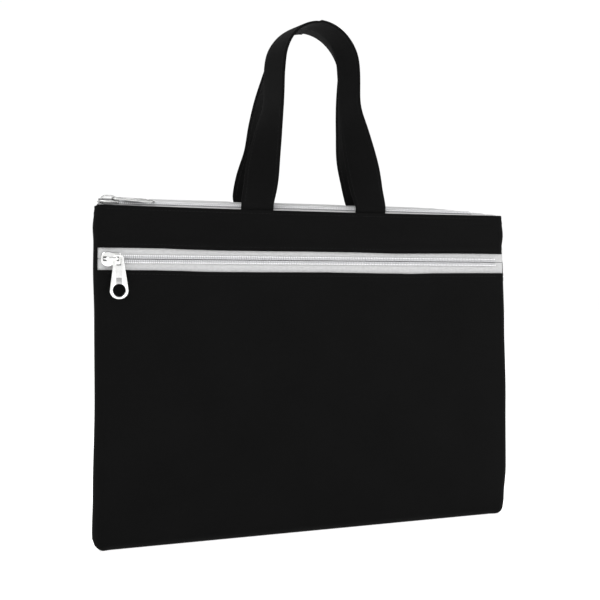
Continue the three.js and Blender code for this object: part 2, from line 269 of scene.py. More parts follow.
def shell(rows, thickness, relief=None, uvs=None):
    """A closed sheet with rounded rims. rows is a grid of outer points whose columns run
    to the right and whose rows run up, seen from outside. relief(i, j) lifts a point."""
    normals = cross_normals(rows)
    if relief:
        rows = [
            [p + normals[i][j] * relief(i, j) for j, p in enumerate(row)]
            for i, row in enumerate(rows)
        ]
        normals = cross_normals(rows)
    high, wide = len(rows), len(rows[0])
    verts = [p for row in rows for p in row]
    inner = [
        p - normals[i][j] * thickness for i, row in enumerate(rows) for j, p in enumerate(row)
    ]
    size = len(verts)
    verts += inner
    faces = []
    for i in range(high - 1):
        for j in range(wide - 1):
            a, b = i * wide + j, i * wide + j + 1
            c, d = a + wide, b + wide
            faces.append([a, b, d, c])
            faces.append([a + size, c + size, d + size, b + size])
    rim = [(0, j) for j in range(wide)]
    rim += [(i, wide - 1) for i in range(1, high)]
    rim += [(high - 1, j) for j in range(wide - 2, -1, -1)]
    rim += [(i, 0) for i in range(high - 2, 0, -1)]
    rings = [[i * wide + j for i, j in rim]]
    grid_uvs = [uv for row in uvs for uv in row] if uvs else [(p.x, p.z) for p in verts[:size]]
    all_uvs = grid_uvs + grid_uvs
    for degrees in (45, 90, 135):
        angle = math.radians(degrees)
        ring = []
        for i, j in rim:
            edge = rows[i][j]
            inside = rows[min(max(i, 1), high - 2)][min(max(j, 1), wide - 2)]
            out = (edge - inside).normalized()
            normal = normals[i][j]
            middle = edge - normal * thickness / 2
            half = thickness / 2
            ring.append(len(verts))
            verts.append(middle + out * half * math.sin(angle) + normal * half * math.cos(angle))
            all_uvs.append(grid_uvs[i * wide + j])
        rings.append(ring)
    rings.append([k + size for k in rings[0]])
    count = len(rim)
    for first, second in zip(rings, rings[1:]):
        for k in range(count):
            n = (k + 1) % count
            faces.append([first[n], first[k], second[k], second[n]])
    return verts, faces, all_uvs


def bezier_outline(start, curves, steps=10):
    """A closed outline from a start point and (control, control, end) triples."""
    points = []
    here = Vector(start)
    for one, two, end in curves:
        one, two, end = Vector(one), Vector(two), Vector(end)
        for i in range(steps):
            t = i / steps
            s = 1 - t
            points.append(here * s**3 + one * 3 * s * s * t + two * 3 * s * t * t + end * t**3)
        here = end
    return points


def plate(outlines, low, high, bevel):
    """A flat plate with holes and rounded edges: the first outline is its outside."""
    curve = bpy.data.curves.new("plate", "CURVE")
    curve.dimensions = "2D"
    curve.fill_mode = "BOTH"
    for points in outlines:
        spline = curve.splines.new("POLY")
        spline.points.add(len(points) - 1)
        for k, p in enumerate(points):
            spline.points[k].co = (p[0], p[1], 0, 1)
        spline.use_cyclic_u = True
    curve.extrude = (high - low) / 2 - bevel
    curve.bevel_depth = bevel
    curve.bevel_resolution = 2
    curve.offset = -bevel
    holder = new_object("plate", curve)
    mesh = evaluated_mesh(holder)
    work = bmesh.new()
    work.from_mesh(mesh)
    bmesh.ops.remove_doubles(work, verts=work.verts, dist=1e-4)
    bmesh.ops.recalc_face_normals(work, faces=work.faces)
    middle = (low + high) / 2
    verts = [Vector((v.co.x, v.co.y, v.co.z + middle)) for v in work.verts]
    faces = [[v.index for v in f.verts] for f in work.faces]
    work.free()
    bpy.data.objects.remove(holder)
    bpy.data.curves.remove(curve)
    bpy.data.meshes.remove(mesh)
    return verts, faces


def domed_plate(outline, low, high, dome, bevel):
    """A plate with a crowned upper face, from scaled copies of its outline."""
    levels = [(0.0, low), (0.8, low), (1 - bevel * 0.05, low), (1.0, low + bevel)]
    levels += [(1.0, high - bevel), (1 - bevel * 0.02, high - bevel * 0.35)]
    for share in (0.93, 0.84, 0.7, 0.5, 0.25, 0.0):
        levels.append((share, high + dome * (1 - share * share)))
    count = len(outline)
    verts, rings = [], []
    for share, z in levels:
        if share == 0.0:
            rings.append([len(verts)] * count)
            verts.append(Vector((0, 0, z)))
            continue
        rings.append(list(range(len(verts), len(verts) + count)))
        verts += [Vector((p[0] * share, p[1] * share, z)) for p in outline]
    faces = []
    for lower, upper in zip(rings, rings[1:]):
        for k in range(count):
            n = (k + 1) % count
            face = [lower[k], lower[n], upper[n], upper[k]]
            faces.append(list(dict.fromkeys(face)))
    return verts, faces


def tube_faces(rings, count):
    """Faces of a closed tube whose vertices are rings of count points."""
    faces = []
    for k in range(rings - 1):
        for i in range(count):
            n = (i + 1) % count
            a, b = k * count + i, k * count + n
            faces.append([a, b, b + count, a + count])
    faces.append(list(range(count))[::-1])
    faces.append([(rings - 1) * count + i for i in range(count)])
    return faces


def turn_faces_out(piece):
    """Turns a closed piece's faces out."""
    work = bmesh.new()
    work.from_mesh(piece.data)
    bmesh.ops.recalc_face_normals(work, faces=work.faces)
    work.to_mesh(piece.data)
    work.free()


def spindle(start, end, normal, radius, flat=0.7, sides=6):
    """One stitch or coil bar: a short rounded bar lying on a surface."""
    along = (end - start).normalized()
    across = along.cross(normal).normalized()
    verts, faces = [start], []
    stations = [(0.06, 0.62), (0.25, 1.0), (0.75, 1.0), (0.94, 0.62)]
    for share, swell in stations:
        centre = start.lerp(end, share)
        for k in range(sides):
            angle = 2 * math.pi * k / sides
            side = across * math.cos(angle) + normal * flat * math.sin(angle)
            verts.append(centre + side * radius * swell)
    verts.append(end)
    tip = len(verts) - 1
    for k in range(sides):
        n = (k + 1) % sides
        faces.append([0, 1 + n, 1 + k])
        for ring in range(len(stations) - 1):
            a, b = 1 + ring * sides + k, 1 + ring * sides + n
            faces.append([a, b, b + sides, a + sides])
        last = 1 + (len(stations) - 1) * sides
        faces.append([last + k, last + n, tip])
    return verts, faces


def stitch_run(parts, points, normals):
    """Stitches along a polyline of surface points."""
    index, along = 0, 0.0
    total = sum((b - a).length for a, b in zip(points, points[1:]))
    starts = [stitch_gap * (k + 0.25) for k in range(int(total / stitch_gap))]

    def at(distance):
        nonlocal index, along
        while index < len(points) - 2:
            step = (points[index + 1] - points[index]).length
            if along + step >= distance:
                break
            along += step
            index += 1
        step = (points[index + 1] - points[index]).length
        share = min(1.0, (distance - along) / step)
        normal = normals[index].lerp(normals[index + 1], share).normalized()
        return points[index].lerp(points[index + 1], share), normal

    for travelled in starts:
        first, normal = at(travelled)
        second, normal = at(travelled + stitch_long)
        parts.add(*spindle(first, second, normal, stitch_wide / 2))


# ---- Materials ----
def new_material(name, colour, roughness, metallic=0.0):
    material = bpy.data.materials.new(name)
    material.use_nodes = True
    shader = material.node_tree.nodes["Principled BSDF"]
    shader.inputs["Base Color"].default_value = (*colour, 1)
    shader.inputs["Roughness"].default_value = roughness
    shader.inputs["Metallic"].default_value = metallic
    return material, material.node_tree, shader


def add_node(tree, kind, **values):
    node = tree.nodes.new(kind)
    for key, value in values.items():
        setattr(node, key, value)
    return node


def maths(tree, operation, first, second=None):
    node = add_node(tree, "ShaderNodeMath", operation=operation)
    for socket, value in zip(node.inputs, (first, second)):
        if value is None:
            continue
        if isinstance(value, (int, float)):
            socket.default_value = value
        else:
            tree.links.new(value, socket)
    return node.outputs[0]


def scaled(tree, value, factor):
    return maths(tree, "MULTIPLY", value, factor)


def uv_axes(tree):
    """The weave coordinates in mm, along and across the cloth."""
    coordinates = add_node(tree, "ShaderNodeUVMap", uv_map="weave")
    parts = add_node(tree, "ShaderNodeSeparateXYZ")
    tree.links.new(coordinates.outputs["UV"], parts.inputs[0])
    return coordinates.outputs["UV"], parts.outputs[0], parts.outputs[1]


def noise_of(tree, vector, scale, detail):
    node = add_node(tree, "ShaderNodeTexNoise")
    node.inputs["Scale"].default_value = scale
    node.inputs["Detail"].default_value = detail
    tree.links.new(vector, node.inputs["Vector"])
    return node.outputs["Fac"]


def blend_colours(tree, factor, dark, light):
    ramp = add_node(tree, "ShaderNodeMix", data_type="RGBA")
    ramp.inputs["A"].default_value = (*dark, 1)
    ramp.inputs["B"].default_value = (*light, 1)
    tree.links.new(factor, ramp.inputs["Factor"])
    return ramp.outputs["Result"]


def tint(tree, shader, factor, dark, light):
    colour = blend_colours(tree, factor, dark, light)
    tree.links.new(colour, shader.inputs["Base Color"])


def bump(tree, shader, height, distance, strength=1.0):
    node = add_node(tree, "ShaderNodeBump")
    node.inputs["Strength"].default_value = strength
    node.inputs["Distance"].default_value = distance * MM
    tree.links.new(height, node.inputs["Height"])
    tree.links.new(node.outputs["Normal"], shader.inputs["Normal"])


def woven_black(name, pitch, dark, light, roughness):
    """Black woven polyester: over-and-under threads, slubs and a soft uneven depth of dye."""
    material, tree, shader = new_material(name, light, roughness)
    vector, u, v = uv_axes(tree)
    warp = maths(tree, "SINE", scaled(tree, u, math.pi / pitch))
    weft = maths(tree, "SINE", scaled(tree, v, math.pi / pitch))
    weave = maths(tree, "ABSOLUTE", scaled(tree, warp, weft))
    slub = noise_of(tree, vector, 0.35, 3.0)
    patch = noise_of(tree, vector, 0.018, 2.0)
    mixed = maths(tree, "ADD", scaled(tree, weave, 0.35), scaled(tree, slub, 0.3))
    shade = maths(tree, "ADD", mixed, scaled(tree, patch, 0.4))
    tint(tree, shader, shade, dark, light)
    bump(tree, shader, maths(tree, "ADD", weave, scaled(tree, slub, 0.4)), 0.12)
    shader.inputs["Sheen Weight"].default_value = 0.012
    shader.inputs["Sheen Roughness"].default_value = 0.5
    shader.inputs["Specular IOR Level"].default_value = 0.06
    return material


def tape_finish():
    """Pale grey satin tape with lengthwise ribs crossed by fine weft."""
    rib_pitch, weft_pitch = 0.62, 0.5
    material, tree, shader = new_material("zip_tape_weave", (0.62, 0.62, 0.63), 0.5)
    vector, u, v = uv_axes(tree)
    rib = maths(tree, "SINE", scaled(tree, v, 2 * math.pi / rib_pitch))
    weft = maths(tree, "SINE", scaled(tree, u, 2 * math.pi / weft_pitch))
    slub = noise_of(tree, vector, 0.4, 3.0)
    shade = maths(tree, "ADD", scaled(tree, rib, 0.2), scaled(tree, slub, 0.9))
    tint(tree, shader, shade, (0.42, 0.42, 0.42), (0.6, 0.6, 0.6))
    bump(tree, shader, maths(tree, "ADD", rib, scaled(tree, weft, 0.4)), 0.05)
    shader.inputs["Sheen Weight"].default_value = 0.25
    shader.inputs["Sheen Roughness"].default_value = 0.35
    return material


def coil_finish():
    """Satin pale plastic with a slightly uneven surface."""
    material, tree, shader = new_material("zip_coil_plastic", (0.74, 0.74, 0.75), 0.36)
    place = add_node(tree, "ShaderNodeTexCoord").outputs["Object"]
    cloud = noise_of(tree, place, 90.0, 2.0)
    tint(tree, shader, cloud, (0.5, 0.5, 0.51), (0.6, 0.6, 0.61))
    bump(tree, shader, noise_of(tree, place, 1800.0, 2.0), 0.03)
    return material


def metal_finish(name, dull, bright):
    """Polished nickel on a casting: soft waves and a little haze."""
    material, tree, shader = new_material(name, bright, 0.16, 1.0)
    place = add_node(tree, "ShaderNodeTexCoord").outputs["Object"]
    haze = noise_of(tree, place, 260.0, 3.0)
    tint(tree, shader, haze, dull, bright)
    rough = maths(tree, "ADD", scaled(tree, haze, 0.16), 0.1)
    tree.links.new(rough, shader.inputs["Roughness"])
    bump(tree, shader, noise_of(tree, place, 500.0, 1.0), 0.02, 0.5)
    return material


def thread_finish(name, dark, light):
    """Twisted sewing thread."""
    material, tree, shader = new_material(name, light, 0.6)
    place = add_node(tree, "ShaderNodeTexCoord").outputs["Object"]
    twist = noise_of(tree, place, 2500.0, 2.0)
    tint(tree, shader, twist, dark, light)
    bump(tree, shader, twist, 0.04)
    shader.inputs["Specular IOR Level"].default_value = 0.15
    return material


deep_black = (0.0008, 0.0008, 0.0008)
worn_black = (0.005, 0.005, 0.005)
black_cloth = woven_black("black_polyester", 0.62, deep_black, worn_black, 0.86)
strap_cloth = woven_black("strap_polyester", 0.62, deep_black, worn_black, 0.84)
lining_cloth = woven_black("lining_polyester", 0.4, (0.01, 0.01, 0.011), (0.02, 0.02, 0.022), 0.8)
tape_cloth = tape_finish()
coil_plastic = coil_finish()
nickel = metal_finish("polished_nickel", (0.8, 0.8, 0.79), (0.94, 0.94, 0.93))
# Painted shade: a darker copy of the nickel for the floor of each pull's recess
shaded_metal = metal_finish("pull_recess_painted_shade", (0.34, 0.34, 0.34), (0.5, 0.5, 0.5))
# Painted shade: a darker copy of the same polished nickel, for the top slider and its pull
nickel_painted_darker = metal_finish("nickel_with_painted_shade", (0.36, 0.36, 0.355), (0.6, 0.6, 0.59))
# Painted shade: dark metal for the thin plates beside the crown, where the hollows under the
# bridge lie in shade
painted_shade_metal = metal_finish("shaded_recess", (0.13, 0.13, 0.13), (0.22, 0.22, 0.22))
black_thread = thread_finish("black_thread", (0.002, 0.002, 0.002), (0.005, 0.005, 0.005))
white_thread = thread_finish("white_thread", (0.84, 0.84, 0.85), (0.97, 0.97, 0.97))


# ---- Camera, light and floor ----
def make_camera():
    camera = new_object("camera", bpy.data.cameras.new("camera"))
    camera.location = (-0.358, -0.8567, 0.216)
    camera.rotation_euler = (math.radians(90), 0, math.radians(-22.11))
    camera.data.sensor_width = 36
    camera.data.lens = 63.1
    camera.data.shift_y = -0.0263
    camera.data.clip_start = 0.01
    bpy.context.scene.camera = camera


def make_light(name, place, size, power):
    """A round area light, in metres, aimed at the middle of the case."""
    data = bpy.data.lights.new(name, "AREA")
    data.shape = "DISK"
    data.size = size
    data.energy = power
    light = new_object(name, data)
    light.location = place
    direction = Vector((0, 0, 0.2)) - Vector(place)
    light.rotation_euler = direction.to_track_quat("-Z", "Y").to_euler()


def make_floor():
    mesh = bpy.data.meshes.new("floor")
    reach = 6.0
    corners = [(-reach, -reach, 0), (reach, -reach, 0), (reach, reach, 0), (-reach, reach, 0)]
    mesh.from_pydata(corners, [], [[0, 1, 2, 3]])
    material, _, shader = new_material("floor_paint", (0.9, 0.9, 0.9), 0.8)
    shader.inputs["Specular IOR Level"].default_value = 0.1
    shader.inputs["Emission Color"].default_value = (1, 1, 1, 1)
    shader.inputs["Emission Strength"].default_value = 0.7
    mesh.materials.append(material)
    new_object("floor", mesh)


def make_sky():
    """White at the horizon and grey overhead, for the metal to mirror."""
    world = bpy.data.worlds.new("studio")
    world.use_nodes = True
    tree = world.node_tree
    background = tree.nodes["Background"]
    direction = add_node(tree, "ShaderNodeTexCoord").outputs["Generated"]
    axes = add_node(tree, "ShaderNodeSeparateXYZ")
    tree.links.new(direction, axes.inputs[0])
    height = add_node(tree, "ShaderNodeMapRange", interpolation_type="SMOOTHSTEP")
    height.inputs["From Min"].default_value = 0.28
    height.inputs["From Max"].default_value = 0.64
    tree.links.new(axes.outputs[2], height.inputs["Value"])
    sky = blend_colours(tree, height.outputs[0], (1, 1, 1), (0.3, 0.3, 0.31))
    tree.links.new(sky, background.inputs["Color"])
    background.inputs["Strength"].default_value = 1.02
    bpy.context.scene.world = world


make_camera()
make_floor()
make_sky()
make_light("key", (-1.1, -1.6, 1.7), 1.4, 22)
make_light("fill", (1.6, -1.2, 1.0), 1.6, 10)
make_light("top", (0.2, 0.9, 2.4), 1.5, 20)
bpy.context.scene.view_settings.view_transform = "Standard"


# ---- Fabric panels ----
def hem(distance):
    """Height of a turned edge and its stitch line, at a distance from the fold."""
    turned = 0.32 * (1 - smooth(6.2, 7.6, distance))
    return turned - 0.26 * math.exp(-(((distance - hem_stitch) / 0.55) ** 2))


def pucker(x, distance, seed):
    return 0.16 * ripple(x, 0, 6.5, seed) * math.exp(-distance / 9)


def cloth_relief(x, z, edge, seed):
    """The gentle unevenness of a soft panel, still at its edges."""
    free = smooth(0, 28, edge)
    broad = 0.75 * ripple(x, z, 75, seed) + 0.22 * ripple(x, z, 24, seed + 5)
    return broad * free


def along_table(table, height):
    """A smooth value from (height, value) pairs."""
    for (low, first), (high, second) in zip(table, table[1:]):
        if height <= high:
            return mix(first, second, smooth(low, high, height))
    return table[-1][1]


# how far out each soft side edge stands, as (height, distance)
left_out = [(0, 0.2), (14, 0.9), (45, 0.2), (120, -1.2), (190, -0.9)]
left_out += [(228, 0), (250, -0.3), (262, 0.3), (280, -1.4)]
right_out = [(0, 0.2), (16, 2.2), (45, 4.6), (110, 4.4), (180, 2.6)]
right_out += [(232, 1.2), (248, -0.4), (262, 1.2), (280, -0.8)]


def side_shift(x, z):
    """How far the soft side edges stand out or draw in along their height."""
    share = smooth(120, half_width, abs(x))
    return share * (along_table(right_out, z) if x > 0 else -along_table(left_out, z))


def round_places(angles):
    """Places along the width path, in degrees round both side edges."""
    return [side * path_end(degrees) for side in (-1, 1) for degrees in angles]


# places of the columns of vertices across the front cloths and the pocket tapes
front_places = sorted(spread(-round_x, round_x, 3.0, 1.4, 12) + round_places((9, 18, 27, 36, 45)))
tape_places = sorted(front_places + round_places((52, 60)))


def opening_sag(x):
    """How far the pocket opening hangs below a straight line."""
    return 1.2 * smooth(-155, -85, x) + 0.8 * math.exp(-(((x - 85) / 45) ** 2))


def opening_wave(x, height, size, seed):
    """A slight wave along an opening's edge, still where it is sewn in at the sides."""
    return height * ripple(x, 0, size, seed) * smooth(0, 20, half_width - abs(x))


def pocket_top(x):
    return pocket_low - opening_sag(x) + opening_wave(x, 0.3, 21, 3.1)


def band_bottom(x):
    return pocket_high - opening_sag(x) + opening_wave(x, 0.22, 26, 8.4)


def front_pocket_panel():
    """Front cloth below the pocket zip: base strip, rounded lower edge, then the face."""
    heights = spread(0, 1, 0.011, 0.004, 0.04)
    rows, uvs, edges = [], [], []
    base_steps = [1, 0.75, 0.5, 0.25, 0]
    turn_steps = [80, 65, 50, 35, 20, 8]
    for kind, steps in (("base", base_steps), ("turn", turn_steps), ("face", heights)):
        for step in steps:
            row, line, marks = [], [], []
            for place in front_places:
                x, y = front_plan(place)
                base = base_height(x)
                radius = mix(base_radius, 1.8, smooth(179, 191, abs(x)))
                full = back_inner_y(x, 0) - 0.45
                end = mix(full, y + radius + 0.4, smooth(187, 190, abs(x)))
                if kind == "base":
                    point = Vector((x, mix(y + radius, end, step), base))
                elif kind == "turn":
                    angle = math.radians(step)
                    turned = y + radius * (1 - math.cos(angle))
                    point = Vector((x, turned, base + radius * (1 - math.sin(angle))))
                else:
                    point = Vector((x, y, mix(base + radius, pocket_top(x), step)))
                point.x += side_shift(x, point.z)
                row.append(point)
                run = point.z - (point.y - y if kind != "face" else 0)
                line.append((place, run))
                marks.append((x, point.z, kind))
            rows.append(row)
            uvs.append(line)
            edges.append(marks)

    def relief(i, j):
        x, z, kind = edges[i][j]
        if kind == "base":
            return 0.0
        from_top = pocket_top(x) - z
        edge = min(z - 4, path_end(45) - abs(front_places[j]), from_top)
        still = smooth(2, 10, z)
        return (hem(from_top) + pucker(x, from_top, 1.7) + cloth_relief(x, z, edge, 2.2)) * still

    cloth = shell(rows, fabric - 0.1, relief, uvs)
    piece = finish_mesh("front_pocket_cloth", cloth, black_cloth, "case")
    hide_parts("front_pocket_panel")


def front_top_band():
    heights = spread(0, 1, 0.06, 0.022, 0.2)
    rows, uvs = [], []
    for step in heights:
        row, line = [], []
        for place in front_places:
            x, y = front_plan(place)
            z = mix(band_bottom(x), top_edge(x), step)
            row.append(Vector((x + side_shift(x, z), y, z)))
            line.append((place, z))
        rows.append(row)
        uvs.append(line)

    def relief(i, j):
        point = rows[i][j]
        low = point.z - band_bottom(point.x)
        high = top_edge(point.x) - point.z
        edge = min(low, high, path_end(45) - abs(front_places[j]))
        wave = pucker(point.x, low, 4.3) + pucker(point.x, high, 6.1)
        return hem(low) + hem(high) + wave + 0.5 * cloth_relief(point.x, point.z, edge, 7.7)

    cloth = shell(rows, fabric - 0.1, relief, uvs)
    piece = finish_mesh("front_band_cloth", cloth, black_cloth, "case")
    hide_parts("front_top_band")


def back_top(x):
    """Height of the back panel's top edge: just under the zip tape, falling at the corners."""
    top = zip_plane(back_y(x, front_height, fabric)) - 0.9
    return mix(top, 279.0, smooth(0.965, 1, abs(x) / half_width))


def back_columns():
    """Plan points of the back panel, right edge first, as (kind, value)."""
    angles = [47, 56, 65, 75, back_edge_angle]
    flat = [("flat", u) for u in spread(-1, 1, 0.018, 0.008, 0.06)]
    left = [("left", angle) for angle in angles]
    right = [("right", angle) for angle in reversed(angles)]
    return list(reversed(left + flat + right))


def back_panel():
    """Back cloth with both side edges; the right one is notched where the tape tucks in."""
    columns = back_columns()
    heights = spread(0, 1, 0.012, 0.004, 0.03)
    for level in (pocket_low, pocket_high):
        heights += [(level + step) / front_height for step in (-3.4, -2.2, -1, 0.2, 1.4, 2.6, 3.8)]
    heights.sort()
    rows, uvs, marks = [], [], []
    for step in heights:
        row, line, mark = [], [], []
        for kind, value in columns:
            if kind == "flat":
                x = value * half_width
                top = back_top(x)
                z = mix(base_height(x) + 0.3, top, step)
                y = back_y(x, z)
            else:
                side = 1 if kind == "right" else -1
                height = step * front_height
                notch = smooth(pocket_low - 3.5, pocket_low, height)
                notch *= 1 - smooth(pocket_high, pocket_high + 3.5, height)
                drawn = notch * 14 * (back_edge_angle - value) / 37 if side > 0 else 0
                place = side * path_end(value + drawn)
                x, y = front_plan(place)
                z = mix(base_height(x) + 0.8, back_top(side * half_width), step)
            row.append(Vector((x + side_shift(x, z), y, z)))
            line.append((x - y if x > 0 else x + y, z))
            mark.append((x, z, z - base_height(x)))
        rows.append(row)
        uvs.append(line)
        marks.append(mark)

    def relief(i, j):
        x, z, low = marks[i][j]
        high = rows[-1][j].z - z
        edge = min(low, high, half_width + 6 - abs(x))
        return hem(high) + pucker(x, high, 9.2) + 1.2 * cloth_relief(x, z, edge, 12.4)

    cloth = shell(rows, fabric - 0.1, relief, uvs)
    piece = finish_mesh("back_cloth", cloth, black_cloth, "case")
    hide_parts("back_panel")


def divider_panel():
    """The pocket's back wall, which turns forward at its top to the upper tape."""
    reach = half_width - 5.1
    turn_low, turn_high = 252, 262
    columns = spread(-reach, reach, 8, 2.5, 12)
    steps = [i / 40 for i in range(41)] + [1.3, 1.65, 2.0]
    rows = []
    for step in steps:
        row = []
        for x in columns:
            low = base_height(x, fabric) + 0.5
            y = -4.8 - 3.2 * smooth(0.94, 1, abs(x) / reach)
            z = mix(low, turn_low, min(step, 1))
            if step > 1:
                _, front = front_plan(x, fabric + 0.4)
                y = mix(y, front, step - 1)
                z = mix(turn_low, turn_high, step - 1)
            row.append(Vector((x, y, z)))
        rows.append(row)
    piece = finish_mesh("divider_cloth", shell(rows, 0.8), lining_cloth, "case")
    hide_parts("divider_panel")


def panel_stitches():
    """Topstitching: along both pocket openings, under the top front edge and on the back."""
    parts = Parts()
    places = [-184 + 4 * k for k in range(93)]
    lift = 0.06
    for edge, side in ((pocket_top, -1), (band_bottom, 1), (top_edge, -1)):
        line = [Vector((x, front_y - lift, edge(x) + side * hem_stitch)) for x in places]
        stitch_run(parts, line, [Vector((0, -1, 0))] * len(line))
    back = []
    for x in [170 - 4 * k for k in range(87)]:
        top = back_top(x) - hem_stitch
        back.append(Vector((x, back_y(x, top) + lift, top)))
    stitch_run(parts, back, [Vector((0, 1, 0))] * len(back))
    finish_mesh("panel_stitches", parts.shape(), black_thread, "case")


# ---- Zips ----
pocket_frame = Matrix.Translation((0, front_y + fabric + 0.3, zip_height)) @ Matrix.Rotation(
    math.radians(90), 4, "X"
)
top_frame = Matrix.Translation((0, top_zip_y, top_zip_z)) @ Matrix.Rotation(top_tilt, 4, "X")


def tape_relief(across, x, seed):
    """Lengthwise ribs, a thick cord beside the coil and a slightly wavy lie."""
    rib = 0.07 * math.cos(2 * math.pi * across / 1.24) * smooth(3.8, 4.6, across)
    cord = 0.12 * math.exp(-(((across - 4.6) / 0.4) ** 2))
    return rib + cord + 0.08 * ripple(x, 0, 13, seed) - 0.05


def finish_tape(name, node, rows, uvs, seed, place=None):
    def relief(i, j):
        return tape_relief(abs(uvs[i][j][1]), rows[i][j].x, seed)

    tape = shell(rows, tape_thick - 0.1, relief, uvs)
    piece = finish_mesh(name, tape, tape_cloth, "case", place)
    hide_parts(node)


def pocket_tape(name, node, near, far, seed):
    """near and far are heights from the zip's middle, the lower one first."""
    steps = 42
    rows, uvs = [], []
    for i in range(steps + 1):
        across = mix(near, far, i / steps)
        row, line = [], []
        for place in tape_places:
            out = smooth(path_end(38), path_end(54), place)
            x, y = front_plan(place, mix(fabric + 0.3, 0.3, out))
            row.append(Vector((x + side_shift(x, zip_height), y, zip_height + across)))
            line.append((place, across))
        rows.append(row)
        uvs.append(line)
    finish_tape(name, node, rows, uvs, seed)


def top_tape(name, node, edges, columns, seed):
    """edges(x) gives the tape's two edges across the zip, the front one first."""
    steps = 34
    rows, uvs = [], []
    for i in range(steps + 1):
        row, line = [], []
        for x in columns:
            low, high = edges(x)
            across = mix(low, high, i / steps)
            row.append(Vector((x, across, 1.5 * smooth(4, 12.5, across))))
            line.append((x, across))
        rows.append(row)
        uvs.append(line)
    finish_tape(name, node, rows, uvs, seed, top_frame)


def wall_reach(x):
    """How far back the top tape reaches before it meets the back panel."""
    strap = smooth(35.5, 37.5, abs(x)) * (1 - smooth(70.5, 72.5, abs(x)))
    edge = back_y(x, front_height, 0.25) - 2.1 * strap
    return (edge - top_zip_y) / math.cos(top_tilt)


def coil_row(name, node, ends, side, shift, place):
    """A row of coil loops with its chain of sewing stitches on top."""
    parts = Parts()
    thread = Parts()
    up = Vector((0, 0, 1))
    count = int((ends[1] - ends[0] - 2) / tooth_pitch)
    base = tape_thick / 2
    for k in range(count):
        x = ends[0] + 1 + tooth_pitch * k + shift
        high = Vector((x, side * 0.3, base + 0.72))
        low = Vector((x + 0.12 * side, side * (coil_half - 0.05), base + 0.42))
        parts.add(*spindle(high, low, up, 0.62, 1.0, 8))
        head = Vector((x, side * 0.28, base + 0.62))
        parts.add(*spindle(head, head + Vector((0, side * 1.0, 0)), up, 0.74, 0.85, 8))
        start = Vector((x - 0.52, side * 2.75, base + 1.0))
        end = start + Vector((1.08, 0.16 * side, 0.05))
        thread.add(*spindle(start, end, up, 0.6, 0.8))
    piece = finish_mesh(name, parts.shape(), coil_plastic, "case", place)
    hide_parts(node)
    finish_mesh(name + "_sewing", thread.shape(), white_thread, "case", place)


def slider_outline(length, nose, tail):
    """A slider seen from above. nose and tail are its half widths at both ends."""
    half = length / 2
    top = [
        ((half, tail * 0.8), (half - 2, tail), (half - 4, tail)),
        ((0, tail), (-half * 0.15, nose), (-half * 0.3, nose)),
        ((-half * 0.75, nose), (-half, nose * 0.6), (-half, 0)),
    ]
    bottom = [
        ((-half, -nose * 0.6), (-half * 0.75, -nose), (-half * 0.3, -nose)),
        ((-half * 0.15, -nose), (0, -tail), (half - 4, -tail)),
        ((half - 2, -tail), (half, -tail * 0.8), (half, 0)),
    ]
    return bezier_outline((half, 0), top + bottom, 9)


def slider_body(name, node, body, place, metal):
    """Two plates, the upper one crowned, with a wall along each side and a post at the nose."""
    parts = Parts()
    upper = slider_outline(slider_length, 6.1, 5.0)
    parts.add(*domed_plate(upper, plate_low, plate_high - 0.25, 0.5, 0.4))
    lower = slider_outline(slider_length - 0.8, 4.9, 4.4)
    parts.add(*plate([lower], -2.1, -1.05, 0.3))
    for side in (1, -1):
        wall = [(-5.6, 5.35), (-5.6, 4.3), (7.2, 4.1), (7.2, 4.75), (1.5, 4.95), (-1, 5.6)]
        points = [(x, y * side) for x, y in wall]
        parts.add(*plate([points[::side]], 0.35, plate_low + 0.35, 0.15))
    post = [(-7.4, 0), (-6.4, -0.2), (-3.4, -0.2), (-2.4, 0), (-3.4, 0.2), (-6.4, 0.2)]
    parts.add(*plate([post], -1.5, plate_low + 0.3, 0.05))
    piece = finish_mesh(name, parts.shape(), metal, body, place, 40)
    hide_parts(node)


def slider_crown(name, node, body, place, metal):
    """The arched bridge: narrow at its front foot, widening to its middle."""
    low = plate_high - 0.1
    ribs = []
    steps = 28
    for k in range(steps + 1):
        share = -1 + 2 * k / steps
        x = share * (crown_right if share > 0 else crown_left)
        rise = math.sqrt(1 - abs(share) ** 3)
        wide = mix(crown_width / 2 - 0.1, 0.55, smooth(0.35, 0.95, abs(share)))
        ribs.append((x, low + (crown_top - low) * rise, wide))
    section = [(1, -0.5), (1, 0.15), (0.82, 0.42), (0.45, 0.5), (-0.45, 0.5), (-0.82, 0.42)]
    section += [(-1, 0.15), (-1, -0.5), (-0.6, -0.6), (0.6, -0.6)]
    verts = []
    last = len(ribs) - 1
    for k, (x, z, wide) in enumerate(ribs):
        before, after = ribs[max(k - 1, 0)], ribs[min(k + 1, last)]
        along = Vector((after[0] - before[0], 0, after[1] - before[1])).normalized()
        up = Vector((-along.z, 0, along.x))
        for across, lift in section:
            verts.append(Vector((x, across * wide, z)) + up * (lift - 0.5) * crown_band)
    faces = tube_faces(len(ribs), len(section))
    piece = finish_mesh(name, (verts, faces), metal, body, place, 50)
    turn_faces_out(piece)
    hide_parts(node)
    # Two thin dark plates on the upper plate beside the crown's feet: painted shade of recesses
    # that are not cut
    parts = Parts()
    for centre, long in ((-4.75, 2.45), (4.3, 1.6)):
        rim = rounded_box(centre, long, 2.0, 0.6)
        level = plate_high + 0.12
        parts.add(*plate([rim], level - 0.3, level, 0.06))
    finish_mesh(name + "_recess", parts.shape(), painted_shade_metal, body, place)


